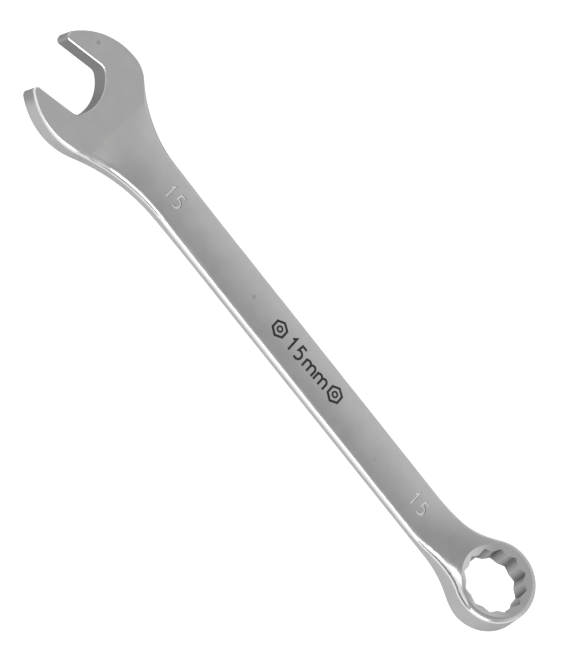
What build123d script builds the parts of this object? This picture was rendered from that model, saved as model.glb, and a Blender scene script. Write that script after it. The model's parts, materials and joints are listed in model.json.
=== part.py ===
from build123d import *
import os
from math import asin, cos, radians, sin, sqrt, tan

# Combination wrench for a 15 mm hexagon: a drop-forged bar with an open end and a
# twelve-point box end, and a size mark printed on the shank.
#
# Working frame: X along the shank from the box end towards the open end, Y across it,
# Z out of its upper face, with the origin on the box end's axis and the shank's mid-plane.
# The finished solids are moved so that the origin is under the middle of the length.

# ---- driving dimensions, in millimetres and degrees ----
nut_size = 15.0                 # across the flats of the hexagon
jaw_clearance = 0.15            # the open end is this much wider than the nut
bore_clearance = 0.12           # and so is the box end
centre_distance = 163.6         # box end centre to open end centre

head_thickness = 6.0
head_width = 31.5               # across both jaws
head_radius = 19.2              # outside curve of each jaw
jaw_angle = 15.0                # the open end turns this far to the left
jaw_reach = 14.3                # open end centre to the jaw tips
jaw_tip_slant = 2.0             # the trailing jaw reaches a little further than the leading one
throat_depth = 1.75             # the throat lies this far behind the open end centre
throat_radius = 10.0
throat_corner = 2.5
jaw_tip_radius = 1.8            # outer corner of each tip
jaw_lip_radius = 1.1            # inner corner of each tip
shoulder_radius = 8.5           # short shoulder behind the jaw that leads
short_neck_radius = 34.0        # from that shoulder into the shank
long_neck_radius = 54.8         # from the other jaw into the shank

shank_width = 13.0
shank_thickness = 5.0           # at its centre line
crown_radius = 20.0             # both broad faces are crowned
crown_fade = 42.0               # length over which the crown dies out into the head
swell_length = 34.0             # length over which the forging thickens towards the head
ground_start_offset = 10.0      # open end centre to where its ground faces begin
ground_depth = 0.7              # what grinding takes off each face of the open end
fade_margin = 4.0               # still stretch before the crown fades and after the swell
fade_steps = 12                 # sections in between

box_diameter = 22.5
box_height = 9.4
box_angle = 15.0                # the box end leans up, away from the shank
box_lift = 5.1                  # its middle lies this far above the shank's mid-plane
flare_radius = 21.0             # side blend from the shank into the box end
rise_radius = 26.0              # top blend from the shank up to the box end
countersink_diameter = 19.8
countersink_angle = 30.0        # measured from the face
flute_radius = 0.5              # rounding in the points of the bore

upper_edge_radius = 1.6         # polished rounding of the outer edges
lower_edge_radius = 0.7
ridge_radius = 6.0              # soft ridge where the rise meets the box end's upper face
jaw_bevel = 0.22

digit_height = 4.4
digit_width = 2.3
digit_pitch = 3.7
digit_stroke = 0.6
stamp_depth = 0.25
jaw_stamp_offset = 33.0         # open end centre to the middle of its stamped size
box_stamp_offset = 28.1         # box end centre to the middle of its stamped size

print_offset = 75.7             # box end centre to the middle of the printed mark
print_side_offset = -0.25       # it sits a little off the centre line
print_skew = 1.6                # and a little askew
print_height = 4.4
print_stroke = 0.6
print_film = 0.05               # thickness of the ink

# ---- values that follow from them ----
jaw_opening = nut_size + jaw_clearance
bore_flats = nut_size + bore_clearance
half_shank = shank_width / 2
half_centre = shank_thickness / 2
half_head = head_thickness / 2
half_forged = half_head + ground_depth
half_box = box_height / 2
box_radius = box_diameter / 2
countersink_radius = countersink_diameter / 2
head_offset = head_radius - head_width / 2
half_span = 0.6 * head_width        # half the width of the cutters
sky = 2 * head_thickness            # and the height they reach
middle_x = centre_distance / 2
tilt = radians(box_angle)
turn = radians(jaw_angle)
jaw_plane = Plane(origin=(centre_distance, 0, 0), x_dir=(cos(turn), sin(turn), 0), z_dir=(0, 0, 1))
tip_place = jaw_plane * Pos(jaw_reach, 0, 0) * Rot(0, 0, -jaw_tip_slant)
box_axis = (sin(tilt), 0, cos(tilt))
box_plane = Plane(origin=(0, 0, box_lift), x_dir=(cos(tilt), 0, -sin(tilt)), z_dir=box_axis)

# the top blend touches the shank's face and meets the box end's face at its countersink
rise_end = box_plane.from_local_coords(Vector(countersink_radius, 0, half_box))
rise_height = rise_end.Z - half_centre
rise_start = rise_end.X + sqrt(2 * rise_radius * rise_height - rise_height ** 2)

# the crown has died out where the ground faces begin, and the swell is placed so that the
# forging passes through their height there
ground_start = centre_distance - ground_start_offset
fade_start = ground_start - crown_fade
ground_share = (half_head - half_centre) / (half_forged - half_centre)
swell_share = 0.5 - sin(asin(1 - 2 * ground_share) / 3)     # where a smooth step reaches that share
swell_start = ground_start - swell_share * swell_length
swell_end = swell_start + swell_length


def neck_centre(circle_centre, circle_radius, neck_radius, side, towards):
    """Centre of the arc that leaves the shank's edge on one side and touches a circle from outside."""
    centre_y = side * (half_shank + neck_radius)
    reach = sqrt((circle_radius + neck_radius) ** 2 - (centre_y - circle_centre.Y) ** 2)
    return Vector(circle_centre.X + towards * reach, centre_y, 0)


def touch_point(circle_centre, circle_radius, other_centre):
    """Point where a circle touches another one whose centre is given."""
    return circle_centre + (other_centre - circle_centre).normalized() * circle_radius


def arc_between(start, end, centre, radius):
    """Shorter arc from start to end about a known centre."""
    middle = centre + ((start + end) * 0.5 - centre).normalized() * radius
    return ThreePointArc(start, middle, end)


# ---- outlines ----
def open_end_outline():
    """Outline of the open end and its half of the shank: two jaw curves cut off at the tips."""
    lead = jaw_plane.from_local_coords(Vector(0, head_offset, 0))     # centre of the leading jaw's curve
    trail = jaw_plane.from_local_coords(Vector(0, -head_offset, 0))
    nose = jaw_plane.from_local_coords(Vector(sqrt(head_radius ** 2 - head_offset ** 2), 0, 0))
    shoulder = lead - Vector(0, head_radius - shoulder_radius, 0)
    short_neck = neck_centre(shoulder, shoulder_radius, short_neck_radius, -1, -1)
    long_neck = neck_centre(trail, head_radius, long_neck_radius, 1, -1)

    lead_shank = Vector(short_neck.X, -half_shank, 0)
    lead_shoulder = touch_point(shoulder, shoulder_radius, short_neck)
    lead_head = lead - Vector(0, head_radius, 0)
    trail_head = touch_point(trail, head_radius, long_neck)
    trail_shank = Vector(long_neck.X, half_shank, 0)
    outline = make_face([
        Line((middle_x, -half_shank), lead_shank),
        arc_between(lead_shank, lead_shoulder, short_neck, short_neck_radius),
        arc_between(lead_shoulder, lead_head, shoulder, shoulder_radius),
        arc_between(lead_head, nose, lead, head_radius),
        arc_between(nose, trail_head, trail, head_radius),
        arc_between(trail_head, trail_shank, long_neck, long_neck_radius),
        Line(trail_shank, (middle_x, half_shank)),
        Line((middle_x, half_shank), (middle_x, -half_shank)),
    ])
    beyond = tip_place * Pos(head_width, 0, 0) * Rectangle(2 * head_width, 2 * head_width)
    outline = outline - beyond
    corners = outline.vertices().sort_by(Axis(jaw_plane.origin, jaw_plane.x_dir))[-2:]
    return fillet(corners, jaw_tip_radius)


def box_end_outline():
    """Outline of the box end with its flares and a length of shank, in the plane of the box end."""
    centre = Vector(0, 0, 0)
    left_flare = neck_centre(centre, box_radius, flare_radius, 1, 1)
    right_flare = neck_centre(centre, box_radius, flare_radius, -1, 1)
    left_ring = touch_point(centre, box_radius, left_flare)
    right_ring = touch_point(centre, box_radius, right_flare)
    left_shank = Vector(left_flare.X, half_shank, 0)
    right_shank = Vector(right_flare.X, -half_shank, 0)
    return make_face([
        Line((centre_distance, half_shank), left_shank),
        arc_between(left_shank, left_ring, left_flare, flare_radius),
        ThreePointArc(left_ring, (-box_radius, 0), right_ring),
        arc_between(right_ring, right_shank, right_flare, flare_radius),
        Line(right_shank, (centre_distance, -half_shank)),
        Line((centre_distance, -half_shank), (centre_distance, half_shank)),
    ])


# ---- cutters that leave the crowned and blended faces ----
def box_face_height(offset, x):
    """Height at x of the plane parallel to the box end's faces, offset along its axis from its middle."""
    foot = box_plane.from_local_coords(Vector(0, 0, offset))
    return foot.Z - (x - foot.X) * tan(tilt)


def section_above(x, face_z, crown):
    """Everything above a face at x, from flat (crown 0) to fully crowned (crown 1)."""
    sag = crown * half_span ** 2 / (2 * crown_radius)
    edges = [
        Bezier((x, -half_span, face_z - sag), (x, 0, face_z + sag), (x, half_span, face_z - sag)),
        Line((x, half_span, face_z - sag), (x, half_span, sky)),
        Line((x, half_span, sky), (x, -half_span, sky)),
        Line((x, -half_span, sky), (x, -half_span, face_z - sag)),
    ]
    return make_face(edges)


def smooth_step(x, start, length):
    """From 0 at the start to 1 at the end of a stretch, leaving and arriving level."""
    share = min(max((x - start) / length, 0), 1)
    return share * share * (3 - 2 * share)


def forged_height(x):
    """Height of the forging's crest above the shank's mid-plane, from the shank to the open end."""
    return half_centre + (half_forged - half_centre) * smooth_step(x, swell_start, swell_length)


def fade_above():
    """The crown dying out and the forging swelling into the head, with a still stretch at each end."""
    start = fade_start - fade_margin
    step = (swell_end + fade_margin - start) / fade_steps
    sections = []
    for index in range(fade_steps + 1):
        x = start + index * step
        sections.append(section_above(x, forged_height(x), 1 - smooth_step(x, fade_start, crown_fade)))
    return loft(sections)


# ---- the forging, before the ends are opened ----
def box_end_blank():
    """Box end and half the shank, between the box end's two faces but still tall along the shank."""
    outer = 2 * box_radius
    tall = extrude(box_plane * box_end_outline(), centre_distance, both=True)
    profile = [
        (-outer, box_face_height(half_box, -outer)),
        (rise_start, box_face_height(half_box, rise_start)),
        (rise_start, sky),
        (middle_x, sky),
        (middle_x, -sky),
        (outer, -sky),
        (outer, box_face_height(-half_box, outer)),
        (-outer, box_face_height(-half_box, -outer)),
    ]
    side = make_face(Polyline([(x, 0, z) for x, z in profile], close=True))
    return tall & extrude(side, outer, both=True, dir=(0, 1, 0))


def crowned_blank():
    """The whole bar with its crowned, blended and flat faces, edges still sharp."""
    bar = box_end_blank() + extrude(open_end_outline(), sky, both=True)
    crown = section_above(rise_start, half_centre, 1)
    crown_length = fade_start - fade_margin - rise_start
    lift_axis = Axis((rise_start, 0, half_centre + rise_radius), (0, 1, 0))
    rise = revolve(crown, lift_axis, 4 * box_angle)     # well past the box end's face
    tail = rise_start + 2 * box_radius
    fade = fade_above()
    head_middle = swell_end + fade_margin + head_width
    head = Pos(head_middle, 0, half_forged + sky / 2) * Box(2 * head_width, 2 * half_span, sky)
    above = [extrude(crown, crown_length, dir=(1, 0, 0)), rise, fade, head]
    below = [extrude(Pos(-tail, 0, 0) * crown, crown_length + tail, dir=(1, 0, 0)), fade, head]
    for cutter in above:
        bar = bar - cutter
    for cutter in below:
        bar = bar - mirror(cutter, about=Plane.XY)
    return bar


def rims(bar):
    """Every edge between the upright outer wall and the broad faces."""
    walls = [face for face in bar.faces() if abs(face.normal_at().Z) < 0.5]
    return [edge for wall in walls for edge in wall.edges() if abs(edge.tangent_at(0.5).Z) < 0.75]


def is_upper(edge):
    """Whether a rim lies above the shank's mid-plane, or above the box end's where that is higher."""
    middle = edge @ 0.5
    return middle.Z > max(0, box_face_height(0, middle.X))


def rounded(edges, radius):
    """Edges rounded at their radius, or at a little less where a changed size leaves no room for it."""
    for share in (1, 0.9, 0.8, 0.7):
        try:
            return fillet(edges, share * radius)
        except ValueError:
            print("no room to round at", round(share * radius, 2))
    return fillet(edges, radius / 2)


def rounded_blank():
    """The forging with its edges rounded, and then its open end ground flat on both faces."""
    bar = crowned_blank()
    ridge = bar.edges().sort_by_distance(rise_end)[0]
    bar = rounded(ridge, ridge_radius)
    bar = rounded([edge for edge in rims(bar) if is_upper(edge)], upper_edge_radius)
    bar = rounded([edge for edge in rims(bar) if not is_upper(edge)], lower_edge_radius)
    ground = Pos(centre_distance, 0, half_head + sky / 2) * Box(centre_distance, 2 * half_span, sky)
    return bar - ground - mirror(ground, about=Plane.XY)


# ---- openings ----
def jaw_cutter():
    """The open end's slot, with bevelled edges and rounded lips at the mouth."""
    half_opening = jaw_opening / 2
    throat_centre = throat_radius - throat_depth
    slot_length = 2 * head_width
    slot = Pos(throat_centre + slot_length / 2, 0) * Rectangle(slot_length, jaw_opening)
    throat = (Pos(throat_centre, 0) * Circle(throat_radius)) & Rectangle(slot_length, jaw_opening)
    slot = slot + throat
    slot = fillet(slot.vertices().sort_by(Axis.X)[:2], throat_corner)
    mouth = Rectangle(slot_length, jaw_opening + 3 * jaw_lip_radius)
    slot = slot + Pos(jaw_reach, 0) * Rot(0, 0, -jaw_tip_slant) * Pos(slot_length / 2, 0) * mouth
    on_jaws = [v for v in slot.vertices() if abs(abs(v.Y) - half_opening) < 0.01]
    lips = sorted(on_jaws, key=lambda v: abs(v.X - jaw_reach))[:2]
    slot = jaw_plane * fillet(lips, jaw_lip_radius)
    bevel = Pos(0, 0, half_head - jaw_bevel) * extrude(slot, 2 * jaw_bevel, taper=-45)
    return [extrude(slot, sky, both=True), bevel, mirror(bevel, about=Plane.XY)]


def box_cutter():
    """The twelve-point bore: two hexagons half a turn of a point apart, with a countersink in each face."""
    star = Sketch()
    for turn_angle in (0, 30):
        star = star + RegularPolygon(bore_flats / 2, 6, major_radius=False, rotation=turn_angle)
    points = star.vertices().group_by(lambda v: round(Vector(v).length, 3))[-1]
    star = fillet(points, flute_radius)
    bore = box_plane * extrude(star, box_height, both=True)
    slope = tan(radians(countersink_angle))
    apex = half_box - countersink_radius * slope
    rim = countersink_radius + half_box / slope
    cone_outline = Polyline((0, 0, apex), (rim, 0, 2 * half_box), (0, 0, 2 * half_box), close=True)
    cone = revolve(make_face(cone_outline), Axis.Z)
    cones = [box_plane * cone, box_plane * mirror(cone, about=Plane.XY)]
    return [bore] + cones


# ---- stamped and printed characters: lists of strokes about the middle of each character ----
def one(height, width):
    top = height / 2
    stem = width * 0.15
    flag = height * 0.22
    return [[Line((stem - flag, top - flag), (stem, top)), Line((stem, top), (stem, -top))]]


def five(height, width):
    top = height / 2
    right = width / 2
    bowl = height * 0.31
    bowl_x = right - bowl
    bowl_y = bowl - top
    drop = sqrt(bowl ** 2 - (bowl_x + right) ** 2)
    start = (-right, bowl_y + drop)
    return [[
        Line((right, top), (-right * 0.75, top)),
        Line((-right * 0.75, top), start),
        ThreePointArc(start, (right, bowl_y), (-right, bowl_y - drop)),
    ]]


def letter_m(height, width):
    foot = -height / 2
    arch = width / 4
    crest = foot + height * 2 / 3
    strokes = [[Line((-width / 2, foot), (-width / 2, crest))]]
    for start in (-width / 2, 0):
        end = start + 2 * arch
        bow = ThreePointArc((start, crest - arch), (start + arch, crest), (end, crest - arch))
        strokes.append([bow, Line((end, crest - arch), (end, foot))])
    return strokes


def drawn(strokes, width):
    """Fill a stroke drawing at its line width."""
    shape = Sketch()
    for edges in strokes:
        shape = shape + trace(edges, width)
    return shape


def size_number(height, width, pitch, stroke):
    """The number of the nut's size, centred on the origin."""
    inner_height = height - stroke
    inner_width = width - stroke
    first = drawn(one(inner_height, inner_width), stroke)
    second = drawn(five(inner_height, inner_width), stroke)
    return Pos(-pitch / 2, 0) * first + Pos(pitch / 2, 0) * second


def nut_symbol(height, stroke):
    """A hexagon nut seen from above."""
    outer = RegularPolygon(height / 2, 6, major_radius=False, rotation=30)
    inner = RegularPolygon(height / 2 - stroke, 6, major_radius=False, rotation=30)
    bolt = Circle(height * 0.22) - Circle(height * 0.22 - stroke * 0.8)
    return outer - inner + bolt


def printed_mark():
    """Nut symbol, size, unit and nut symbol in one line, centred on the origin."""
    width = print_height * 0.55
    pitch = width + print_stroke * 1.6
    letter = width * 1.5
    number = size_number(print_height, width, pitch, print_stroke)
    unit_step = letter + print_stroke * 1.6
    letter_shape = drawn(letter_m(print_height - print_stroke, letter), print_stroke)
    symbol = nut_symbol(print_height, print_stroke)
    symbol_x = print_height * 2.55
    mark = Pos(-symbol_x, 0) * symbol + Pos(symbol_x, 0) * symbol
    mark = mark + Pos(-print_height * 1.05, 0) * number
    for step in (0, 1):
        mark = mark + Pos(print_height * 0.3 + step * unit_step, 0) * letter_shape
    return mark


# ---- the finished pieces ----
def stamped_number(x):
    """Prism of the stamped size, reading towards the box end, down to its flat floor."""
    number = size_number(digit_height, digit_width, digit_pitch, digit_stroke)
    placed = Pos(x, 0, forged_height(x) - stamp_depth) * Rot(0, 0, 180) * number
    return extrude(placed, sky)


def forging():
    body = rounded_blank()
    for cutter in jaw_cutter() + box_cutter():
        body = body - cutter
    for x in (centre_distance - jaw_stamp_offset, box_stamp_offset):
        body = body - stamped_number(x)
    return body


def size_print():
    """A film of ink on the crowned shank, exactly on its face."""
    mark = Pos(print_offset, print_side_offset, 0) * Rot(0, 0, 180 + print_skew) * printed_mark()
    length = centre_distance / 3
    under = section_above(print_offset - length / 2, half_centre, 1)
    over = section_above(print_offset - length / 2, half_centre + print_film, 1)
    layer = extrude(under - over, length, dir=(1, 0, 0))
    return extrude(mark, sky) & layer


def write_parts():
    os.makedirs("parts", exist_ok=True)
    body = forging()
    box = body.bounding_box()
    to_origin = Pos(-(box.min.X + box.max.X) / 2, 0, half_head)
    export_step(to_origin * body, "parts/forged_body.step")
    export_step(to_origin * size_print(), "parts/size_print.step")
    print("overall length", round(box.size.X, 2), "box end centre at x =", round(to_origin.position.X, 3))


write_parts()
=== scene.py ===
import bpy
import json
from math import asin, atan2
from mathutils import Matrix, Vector


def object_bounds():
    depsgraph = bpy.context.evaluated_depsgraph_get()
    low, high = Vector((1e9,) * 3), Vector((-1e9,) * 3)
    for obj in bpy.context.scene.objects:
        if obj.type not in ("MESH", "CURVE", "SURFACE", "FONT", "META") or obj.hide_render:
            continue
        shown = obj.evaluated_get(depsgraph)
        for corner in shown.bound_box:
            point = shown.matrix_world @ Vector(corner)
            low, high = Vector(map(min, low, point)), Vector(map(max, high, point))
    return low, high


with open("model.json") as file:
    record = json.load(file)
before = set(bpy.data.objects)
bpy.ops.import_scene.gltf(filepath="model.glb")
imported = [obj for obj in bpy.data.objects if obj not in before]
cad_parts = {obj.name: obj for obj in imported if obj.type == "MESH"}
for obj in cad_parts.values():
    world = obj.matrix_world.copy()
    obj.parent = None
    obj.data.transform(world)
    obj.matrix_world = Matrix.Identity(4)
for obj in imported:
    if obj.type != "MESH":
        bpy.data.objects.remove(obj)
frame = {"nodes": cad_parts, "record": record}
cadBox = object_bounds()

millimetre = 0.001
lowCorner, highCorner = cadBox
mounts = {mount["name"]: mount for mount in frame["record"]["mounts"]}
openEnd = mounts["open_end_jaws"]
boxEnd = mounts["box_end_socket"]
bpy.context.scene.view_settings.view_transform = "Standard"
bpy.ops.object.select_all(action="DESELECT")
print("frame loaded:", sorted(frame["nodes"]))

nodeLayout = {"columns": 12, "width": 200, "height": 340}


def newMaterial(name):
    material = bpy.data.materials.new(name)
    material.use_nodes = True
    tree = material.node_tree
    tree.nodes.clear()
    return material, tree


def addNode(tree, kind, inputs=None, **settings):
    # nodes are laid out in rows, in the order in which they are made
    row, column = divmod(len(tree.nodes), nodeLayout["columns"])
    node = tree.nodes.new(kind)
    node.location = (column * nodeLayout["width"], -row * nodeLayout["height"])
    for key, value in settings.items():
        setattr(node, key, value)
    for key, value in (inputs or {}).items():
        if isinstance(value, bpy.types.NodeSocket):
            tree.links.new(value, node.inputs[key])
        else:
            node.inputs[key].default_value = value
    return node


def mathNode(tree, operation, first, second=0.0):
    return addNode(tree, "ShaderNodeMath", {0: first, 1: second}, operation=operation).outputs[0]


def product(tree, first, *others):
    for other in others:
        first = mathNode(tree, "MULTIPLY", first, other)
    return first


def components(tree, vector):
    return addNode(tree, "ShaderNodeSeparateXYZ", {0: vector}).outputs


def ramp(tree, value, limits, results):
    # straight from the first result at the first limit to the second at the second
    settings = {
        "Value": value, "From Min": limits[0], "From Max": limits[1],
        "To Min": results[0], "To Max": results[1],
    }
    return addNode(tree, "ShaderNodeMapRange", settings).outputs["Result"]


def softStep(tree, value, limits):
    # softly from 0 at the first limit to 1 at the second
    settings = {"Value": value, "From Min": limits[0], "From Max": limits[1]}
    node = addNode(tree, "ShaderNodeMapRange", settings, interpolation_type="SMOOTHSTEP")
    return node.outputs["Result"]


def band(tree, value, rise, fall):
    return product(tree, softStep(tree, value, rise), softStep(tree, value, fall))


def switched(tree, mask, off, on):
    return ramp(tree, mask, (0.0, 1.0), (off, on))


def blended(tree, mask, first, second):
    # the colour sockets share their names with the number sockets, so they are picked by type
    node = addNode(tree, "ShaderNodeMix", {"Factor": mask}, data_type="RGBA")
    colours = [socket for socket in node.inputs if socket.type == "RGBA"]
    for target, value in zip(colours, (first, second)):
        if isinstance(value, bpy.types.NodeSocket):
            tree.links.new(value, target)
        else:
            target.default_value = value
    return [socket for socket in node.outputs if socket.type == "RGBA"][0]


def noise(tree, position, scale, detail, roughness=0.5, stretch=(1.0, 1.0, 1.0)):
    stretched = addNode(tree, "ShaderNodeMapping", {"Vector": position, "Scale": stretch})
    settings = {
        "Vector": stretched.outputs["Vector"], "Scale": scale, "Detail": detail, "Roughness": roughness,
    }
    return addNode(tree, "ShaderNodeTexNoise", settings).outputs["Fac"]


def localSpace(tree, position, mount):
    # coordinates centred on a mount, tipped with the box end or turned with the open end
    axis = Vector(mount["axis"])
    if axis.z > abs(axis.x):
        rotation = (0.0, asin(axis.x), 0.0)
    else:
        rotation = (0.0, 0.0, atan2(axis.y, axis.x))
    settings = {"Vector": position, "Location": mount["pos_m"], "Rotation": rotation}
    local = addNode(tree, "ShaderNodeMapping", settings, vector_type="TEXTURE")
    return components(tree, local.outputs["Vector"])


def paint(piece, material):
    piece.data.materials.clear()
    piece.data.materials.append(material)


studio = {
    "floorSize": 6.0,
    "floorGap": 0.05 * millimetre,      # so that the floor and the head never lie in one plane
    "floorColour": (0.35, 0.35, 0.35, 1.0),
    "floorRoughness": 0.8,
    "floorGloss": 0.1,
    "floorGlow": 0.90,                  # it glows, so that it stays white beside the wrench
    "white": (1.0, 1.0, 1.0, 1.0),
    "domeOverhead": 0.444,              # brightness straight up, before the slope below
    "domeSlope": (-0.4, -0.5, 0.0),     # the surroundings darken in the direction of +X and +Y
    "domeDarkest": 0.55,
    "domeBrightest": 1.0,
}

softbox = {
    "direction": (-0.10, 0.92, 0.27),   # from the wrench: low on its left
    "distance": 1.2,
    "width": 2.0,
    "height": 0.62,
    "power": 9.0,
}

view = {
    "aim": (0.0010, -0.0025, 0.0),
    "towards": (0.2488, 0.4524, 0.8564),    # from the wrench to the camera
    "upright": (0.7579, -0.6415, 0.1187),
    "distance": 1.329,
    "lens": 284.5,
    "clip": (0.05, 20.0),
}


def makeFloor():
    middle = (lowCorner + highCorner) / 2
    level = lowCorner.z - studio["floorGap"]
    bpy.ops.mesh.primitive_plane_add(size=studio["floorSize"], location=(middle.x, middle.y, level))
    floor = bpy.context.object
    floor.name = "floor"
    material, tree = newMaterial("paleFloor")
    paper = addNode(tree, "ShaderNodeBsdfPrincipled", {
        "Base Color": studio["floorColour"], "Roughness": studio["floorRoughness"],
        "Specular IOR Level": studio["floorGloss"],
        "Emission Color": studio["white"], "Emission Strength": studio["floorGlow"],
    })
    # from below it is clear, so that the underside of the wrench can be looked at
    clear = addNode(tree, "ShaderNodeBsdfTransparent")
    behind = addNode(tree, "ShaderNodeNewGeometry").outputs["Backfacing"]
    surface = addNode(tree, "ShaderNodeMixShader", {0: behind, 1: paper.outputs[0], 2: clear.outputs[0]})
    addNode(tree, "ShaderNodeOutputMaterial", {"Surface": surface.outputs[0]})
    paint(floor, material)


def makeSurroundings():
    world = bpy.data.worlds.new("studio")
    bpy.context.scene.world = world
    world.use_nodes = True
    tree = world.node_tree
    tree.nodes.clear()
    where = addNode(tree, "ShaderNodeTexCoord").outputs["Generated"]
    slope = addNode(tree, "ShaderNodeVectorMath", {0: where, 1: studio["domeSlope"]}, operation="DOT_PRODUCT")
    level = mathNode(tree, "ADD", slope.outputs["Value"], studio["domeOverhead"])
    lit = mathNode(tree, "MAXIMUM", level, studio["domeDarkest"])
    strength = mathNode(tree, "MINIMUM", lit, studio["domeBrightest"])
    light = addNode(tree, "ShaderNodeBackground", {"Color": studio["white"], "Strength": strength})
    addNode(tree, "ShaderNodeOutputWorld", {"Surface": light.outputs[0]})


def makeSoftbox():
    away = Vector(softbox["direction"]).normalized()
    bpy.ops.object.light_add(type="AREA", location=away * softbox["distance"])
    lamp = bpy.context.object
    lamp.name = "leftSoftbox"
    lamp.data.shape = "RECTANGLE"
    lamp.data.size = softbox["width"]
    lamp.data.size_y = softbox["height"]
    lamp.data.energy = softbox["power"]
    lamp.rotation_euler = away.to_track_quat("Z", "Y").to_euler()


def makeCamera():
    back = Vector(view["towards"]).normalized()
    right = Vector(view["upright"]).cross(back).normalized()
    up = back.cross(right)
    bpy.ops.object.camera_add()
    camera = bpy.context.object
    turned = Matrix((right, up, back)).transposed().to_4x4()
    camera.matrix_world = Matrix.Translation(Vector(view["aim"]) + back * view["distance"]) @ turned
    camera.data.lens = view["lens"]
    camera.data.clip_start, camera.data.clip_end = view["clip"]
    bpy.context.scene.camera = camera


makeFloor()
makeSurroundings()
makeSoftbox()
makeCamera()
print("studio ready")

# one metal all over: these colours are set for this light and are not measured reflectances
chrome = {
    "crownColour": (0.50, 0.50, 0.497, 1.0),
    "rimColour": (0.48, 0.48, 0.477, 1.0),
    "leftRimHighlightColour": (0.68, 0.68, 0.675, 1.0),      # painted highlight: the left rims set brighter than the other rims, for looks alone
    "wallColour": (0.46, 0.46, 0.458, 1.0),         # painted shade: upright outer walls set a little darker than the faces
    "tipColour": (0.30, 0.30, 0.302, 1.0),          # painted shade: ends of the jaws set dark
    "slotColour": (0.25, 0.25, 0.252, 1.0),         # painted shade: broached walls between the jaws, set dark
    "bevelColour": (0.85, 0.85, 0.845, 1.0),        # painted highlight: the cut along the slot, set bright
    "countersinkColour": (0.60, 0.60, 0.596, 1.0),  # turned cones of the box end
    "boreColour": (0.34, 0.34, 0.342, 1.0),         # painted shade: broached walls of the twelve-point bore, set dark
    "stampColour": (0.76, 0.76, 0.755, 1.0),        # painted highlight: floors of the stamped digits set lighter
    "edgeTint": (0.5, 0.5, 0.5, 1.0),               # it dims before it turns white edge-on
    "leftRimHighlightFrom": (0.0, 5 * millimetre),           # across the bar, where the painted highlight on the rims begins
    "faceRoughness": 0.30,
    "rimRoughness": 0.20,
    "wallRoughness": 0.38,
    "broachRoughness": 0.34,
    "mottlesPerMetre": 220.0,
    "mottleRange": (0.3, 0.7),                      # of the noise, which spreads little further
    "mottleTone": (0.95, 1.03),
    "mottleRoughness": (-0.03, 0.03),
    "boreShadeRadii": (7.6 * millimetre, 8.6 * millimetre),
    "boreShadeTone": (1.35, 0.5),                       # painted highlight on the bore's corners, painted shade in its points
    "smudgeHeight": 5.7 * millimetre,
    "smudgeTone": 0.66,
    "smudges": [                                    # x, y and radius of small dull marks
        (88.8 * millimetre, -9.9 * millimetre, 0.9 * millimetre),
        (13.9 * millimetre, 0.1 * millimetre, 0.7 * millimetre),
        (-38.9 * millimetre, 2.2 * millimetre, 0.6 * millimetre),
    ],
}

# where each kind of surface begins and ends, as pairs: the mask is 0 at the first and 1 at the second
surfaces = {
    "faceLevel": (0.84, 0.95),          # a level is 1 where a surface lies flat and 0 where it is upright
    "wallLevel": (0.30, 0.06),
    "bevelRise": (0.55, 0.65),
    "bevelFall": (0.85, 0.76),
    "coneRise": (0.80, 0.84),
    "coneFall": (0.93, 0.89),
    "stampLevel": (0.93, 0.97),
    "leanReach": (21 * millimetre, 13 * millimetre),            # from the box end's axis along X
    "slotSide": (7.75 * millimetre, 7.60 * millimetre),         # from the slot's middle
    "slotThroat": (-7.5 * millimetre, -7.0 * millimetre),       # along the slot
    "bevelSide": (8.2 * millimetre, 7.9 * millimetre),
    "bevelThroat": (-9.0 * millimetre, -8.6 * millimetre),
    "jawTip": (11.5 * millimetre, 14.0 * millimetre),
    "boreRadius": (8.9 * millimetre, 8.8 * millimetre),
    "coneRadius": (10.0 * millimetre, 9.92 * millimetre),
    "stampDepth": (5.32 * millimetre, 5.28 * millimetre),       # height of the floors of the digits
    "stampSide": (2.4 * millimetre, 2.3 * millimetre),
}

relief = {
    "neckCurve": 38 * millimetre,                               # radius that the neck seems to have
    "neckRise": (38 * millimetre, 58 * millimetre),             # along X
    "neckFall": (70 * millimetre, 61 * millimetre),
    "cheekSlope": 0.75,                                         # at the outside of the cheek
    "cheekInside": 3.2 * millimetre,                            # where that starts, from the middle
    "cheekWidth": 4 * millimetre,
    "cheekRise": (-60 * millimetre, -70 * millimetre),
    "cheekFall": (-84 * millimetre, -74 * millimetre),
    "facingUp": (0.35, 0.65),
    "grainSize": 0.22 * millimetre,
    "grainDepth": 0.0022 * millimetre,
    "polishPerMetre": 5200.0,
    "polishStretch": (0.04, 1.0, 1.0),                          # drawn out along the bar
    "polishDepth": 0.0015 * millimetre,
    "broachPerMetre": 2600.0,
    "broachStretch": (1.0, 1.0, 0.05),                          # drawn out down the walls
    "broachDepth": 0.006 * millimetre,
}


def findLevel(tree, place, normal):
    # judged against the bar's axis, and on the leaning box end against its own
    leaning = addNode(tree, "ShaderNodeVectorMath", {0: normal, 1: boxEnd["axis"]}, operation="DOT_PRODUCT")
    fromBox = mathNode(tree, "SUBTRACT", place["X"], boxEnd["pos_m"][0])
    atBox = softStep(tree, fromBox, surfaces["leanReach"])
    straightLevel = mathNode(tree, "ABSOLUTE", components(tree, normal)["Z"])
    leaningLevel = mathNode(tree, "ABSOLUTE", leaning.outputs["Value"])
    return switched(tree, atBox, straightLevel, leaningLevel)


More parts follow.
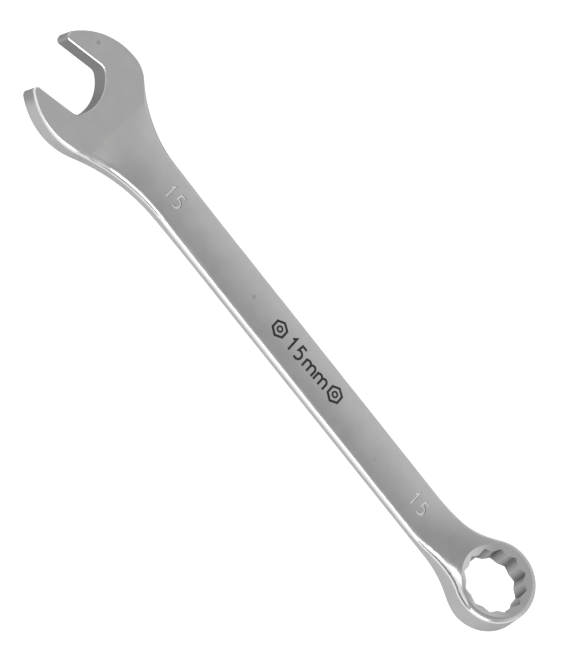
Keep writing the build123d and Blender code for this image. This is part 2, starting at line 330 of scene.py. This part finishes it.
def findOpenEnd(tree, found):
    # the slot, its bevel and the ends of its jaws
    slot = localSpace(tree, found["position"], openEnd)
    side = mathNode(tree, "ABSOLUTE", slot["Y"])
    between = softStep(tree, side, surfaces["slotSide"])
    pastThroat = softStep(tree, slot["X"], surfaces["slotThroat"])
    found["slot"] = product(tree, between, pastThroat, found["wall"])
    bevelled = band(tree, found["level"], surfaces["bevelRise"], surfaces["bevelFall"])
    nearSlot = softStep(tree, side, surfaces["bevelSide"])
    nearThroat = softStep(tree, slot["X"], surfaces["bevelThroat"])
    found["bevel"] = product(tree, nearSlot, nearThroat, bevelled)
    found["tip"] = product(tree, softStep(tree, slot["X"], surfaces["jawTip"]), found["wall"])


def findBoxEnd(tree, found):
    # the twelve-point bore and its countersinks, by the distance from their axis
    bore = localSpace(tree, found["position"], boxEnd)
    flat = addNode(tree, "ShaderNodeCombineXYZ", {"X": bore["X"], "Y": bore["Y"]}).outputs[0]
    found["radius"] = addNode(tree, "ShaderNodeVectorMath", {0: flat}, operation="LENGTH").outputs["Value"]
    inBore = softStep(tree, found["radius"], surfaces["boreRadius"])
    found["bore"] = product(tree, inBore, found["wall"])
    turned = band(tree, found["level"], surfaces["coneRise"], surfaces["coneFall"])
    inCone = softStep(tree, found["radius"], surfaces["coneRadius"])
    found["countersink"] = product(tree, turned, inCone)


def findStamps(tree, found):
    # the floors of the stamped digits lie deeper than the crown around them
    deep = softStep(tree, found["place"]["Z"], surfaces["stampDepth"])
    level = softStep(tree, found["facing"], surfaces["stampLevel"])
    fromMiddle = mathNode(tree, "ABSOLUTE", found["place"]["Y"])
    middle = softStep(tree, fromMiddle, surfaces["stampSide"])
    found["stamp"] = product(tree, deep, level, middle)


def findSurfaces(tree):
    # a mask for each kind of surface, and the coordinates that the finishes share
    coordinates = addNode(tree, "ShaderNodeTexCoord")
    position = coordinates.outputs["Object"]
    normal = coordinates.outputs["Normal"]
    place = components(tree, position)
    found = {"position": position, "place": place, "facing": components(tree, normal)["Z"]}
    found["level"] = findLevel(tree, place, normal)
    found["face"] = softStep(tree, found["level"], surfaces["faceLevel"])
    found["wall"] = softStep(tree, found["level"], surfaces["wallLevel"])
    findOpenEnd(tree, found)
    findBoxEnd(tree, found)
    findStamps(tree, found)
    found["broached"] = mathNode(tree, "MAXIMUM", found["slot"], found["bore"])
    found["mottle"] = noise(tree, position, chrome["mottlesPerMetre"], 4.0, 0.6)
    return found


def chromeColour(tree, found):
    # painted highlight: the rims on the left side are made lighter in colour than the others
    leftHighlight = softStep(tree, found["place"]["Y"], chrome["leftRimHighlightFrom"])
    rim = blended(tree, leftHighlight, chrome["rimColour"], chrome["leftRimHighlightColour"])
    colour = blended(tree, found["face"], rim, chrome["crownColour"])
    # painted shade darkens the walls, the jaw ends, the slot and the bore; painted highlight lightens the
    # bevel and the stamps' floors
    for kind in ("wall", "tip", "slot", "bevel", "countersink", "bore", "stamp"):
        colour = blended(tree, found[kind], colour, chrome[kind + "Colour"])
    # painted shade in the bore's points and painted highlight on its corners, by the distance from its axis
    boreShade = ramp(tree, found["radius"], chrome["boreShadeRadii"], chrome["boreShadeTone"])
    mottling = ramp(tree, found["mottle"], chrome["mottleRange"], chrome["mottleTone"])
    shade = product(tree, switched(tree, found["bore"], 1.0, boreShade), mottling)
    for x, y, radius in chrome["smudges"]:
        middle = (x, y, chrome["smudgeHeight"])
        away = addNode(tree, "ShaderNodeVectorMath", {0: found["position"], 1: middle}, operation="DISTANCE")
        mark = softStep(tree, away.outputs["Value"], (radius, radius / 4))
        shade = product(tree, shade, switched(tree, mark, 1.0, chrome["smudgeTone"]))
    shaded = addNode(tree, "ShaderNodeVectorMath", {0: colour, "Scale": shade}, operation="SCALE")
    return shaded.outputs["Vector"]


def chromeRoughness(tree, found):
    rough = switched(tree, found["face"], chrome["rimRoughness"], chrome["faceRoughness"])
    rough = switched(tree, found["wall"], rough, chrome["wallRoughness"])
    rough = switched(tree, found["broached"], rough, chrome["broachRoughness"])
    patches = ramp(tree, found["mottle"], chrome["mottleRange"], chrome["mottleRoughness"])
    return mathNode(tree, "ADD", rough, patches)


def shadedShape(tree, found):
    # shading alone, and not in the solid: the neck looks slightly crowned where it is already flat
    place = found["place"]
    squared = product(tree, place["Y"], place["Y"])
    sag = product(tree, squared, -1 / (2 * relief["neckCurve"]))
    neck = product(tree, sag, band(tree, place["X"], relief["neckRise"], relief["neckFall"]))

    # and the box end's left cheek looks broken down towards its edge
    past = mathNode(tree, "MAXIMUM", mathNode(tree, "SUBTRACT", place["Y"], relief["cheekInside"]), 0.0)
    drop = product(tree, past, past, -relief["cheekSlope"] / (2 * relief["cheekWidth"]))
    cheek = product(tree, drop, band(tree, place["X"], relief["cheekRise"], relief["cheekFall"]))

    above = softStep(tree, found["facing"], relief["facingUp"])
    return product(tree, mathNode(tree, "ADD", neck, cheek), above)


def chromeRelief(tree, found):
    # fine satin grain everywhere, polishing lines along the bar, broaching lines down the cut walls
    position = found["position"]
    grain = noise(tree, position, 1 / relief["grainSize"], 3.0, 0.6)
    polish = noise(tree, position, relief["polishPerMetre"], 2.0, stretch=relief["polishStretch"])
    broach = noise(tree, position, relief["broachPerMetre"], 3.0, stretch=relief["broachStretch"])
    reliefs = (
        (grain, relief["grainDepth"], 1.0),
        (polish, relief["polishDepth"], 1.0),
        (broach, relief["broachDepth"], found["broached"]),
    )
    shape = {"Distance": 1.0, "Strength": 1.0, "Height": shadedShape(tree, found)}
    normal = addNode(tree, "ShaderNodeBump", shape).outputs["Normal"]
    for height, depth, strength in reliefs:
        normal = addNode(tree, "ShaderNodeBump", {
            "Distance": depth, "Height": height, "Strength": strength, "Normal": normal,
        }).outputs["Normal"]
    return normal


def makeChrome():
    material, tree = newMaterial("satinChrome")
    found = findSurfaces(tree)
    shader = addNode(tree, "ShaderNodeBsdfPrincipled", {
        "Base Color": chromeColour(tree, found), "Metallic": 1.0, "Specular Tint": chrome["edgeTint"],
        "Roughness": chromeRoughness(tree, found), "Normal": chromeRelief(tree, found),
    })
    addNode(tree, "ShaderNodeOutputMaterial", {"Surface": shader.outputs[0]})
    return material


paint(frame["nodes"]["forged_body"], makeChrome())
print("forging painted")

ink = {
    "colour": (0.006, 0.006, 0.007, 1.0),
    "wornColour": (0.022, 0.022, 0.023, 1.0),   # where the film is thin
    "patchSize": 0.9 * millimetre,
    "thinWhere": (0.45, 0.7),                   # of the patches' noise
    "roughness": (0.45, 0.65),                  # full film, thin film
    "pebbleSize": 0.12 * millimetre,
    "pebbleDepth": 0.002 * millimetre,
}


def makeInk():
    material, tree = newMaterial("printInk")
    position = addNode(tree, "ShaderNodeTexCoord").outputs["Object"]
    patches = noise(tree, position, 1 / ink["patchSize"], 3.0)
    thin = softStep(tree, patches, ink["thinWhere"])
    pebbles = noise(tree, position, 1 / ink["pebbleSize"], 2.0)
    bumps = {"Distance": ink["pebbleDepth"], "Height": pebbles, "Strength": 1.0}
    shader = addNode(tree, "ShaderNodeBsdfPrincipled", {
        "Base Color": blended(tree, thin, ink["colour"], ink["wornColour"]),
        "Roughness": switched(tree, thin, *ink["roughness"]),
        "Normal": addNode(tree, "ShaderNodeBump", bumps).outputs["Normal"],
    })
    addNode(tree, "ShaderNodeOutputMaterial", {"Surface": shader.outputs[0]})
    return material


paint(frame["nodes"]["size_print"], makeInk())
print("print painted")
